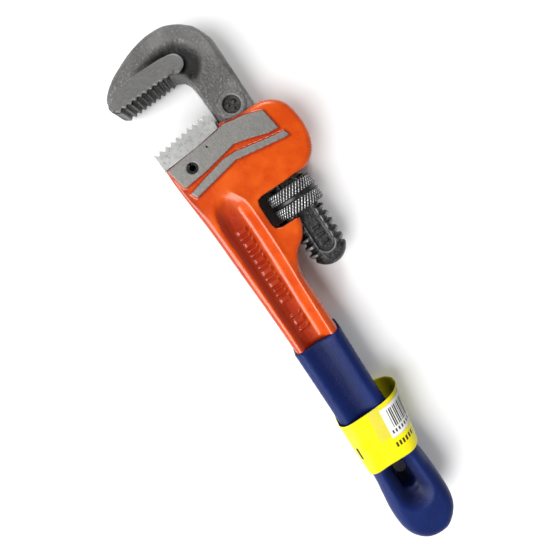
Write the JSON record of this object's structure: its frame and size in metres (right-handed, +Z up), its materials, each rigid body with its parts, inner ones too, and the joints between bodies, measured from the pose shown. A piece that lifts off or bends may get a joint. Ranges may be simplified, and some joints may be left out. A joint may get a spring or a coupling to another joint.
{
  "type": "pipe wrench",
  "caption": "Straight pipe wrench lying flat: painted cast handle and housing, sliding toothed hook jaw, knurled adjusting nut, toothed heel jaw, dipped grip and a paper hang tag.",
  "frame": {"origin": "on the floor under the middle of the bounding box, the wrench lying flat on its side", "axes": "+X along the shank towards the hook jaw, +Y towards the jaw mouth, +Z up out of the front face"},
  "size_m": [0.2468, 0.0668, 0.0224],
  "materials": {
    "painted_casting": "glossy orange enamel, ground bare on the raised flats",
    "dipped_grip": "dark blue dipped vinyl, fine grain",
    "forged_steel": "grey shot-blasted forging",
    "blackened_steel": "blackened, diamond knurl",
    "bright_steel": "pale satin",
    "pin_steel": "dark oiled spring pin",
    "spring_steel": "oiled spring steel",
    "tag_film": "yellow coated card",
    "label_paper": "white label with plain black bars"
  },
  "bodies": {
    "frame": {"handle_housing": "painted_casting", "grip_sleeve": "dipped_grip", "heel_jaw": "bright_steel", "heel_jaw_pin": "pin_steel", "coil_spring": "spring_steel", "tag_band": "tag_film", "tag_label": "label_paper"},
    "rocker": {"flat_spring": "spring_steel"},
    "hook": {"hook_jaw": "forged_steel"},
    "nut": {"adjusting_nut": "blackened_steel"}
  },
  "joints": [
    {"name": "jaw_rock", "type": "hinge", "parent": "frame", "child": "rocker", "pos_m": [0.0302, -0.01372, 0.0112], "axis": [0, 0, 1], "range_deg": [-1.3, 0], "stiffness_Nm_per_rad": 8, "springref_deg": 2.86},
    {"name": "hook_slide", "type": "slide", "parent": "rocker", "child": "hook", "axis": [1, 0, 0], "range_m": [-0.019, 0.018]},
    {"name": "nut_spin", "type": "hinge", "parent": "rocker", "child": "nut", "pos_m": [0.0302, -0.01372, 0.0112], "axis": [1, 0, 0], "range_deg": [-1800, 1800]}
  ],
  "couplings": [
    {"joint": "nut_spin", "follows": "hook_slide", "rad_per_m": -1636.2}
  ]
}
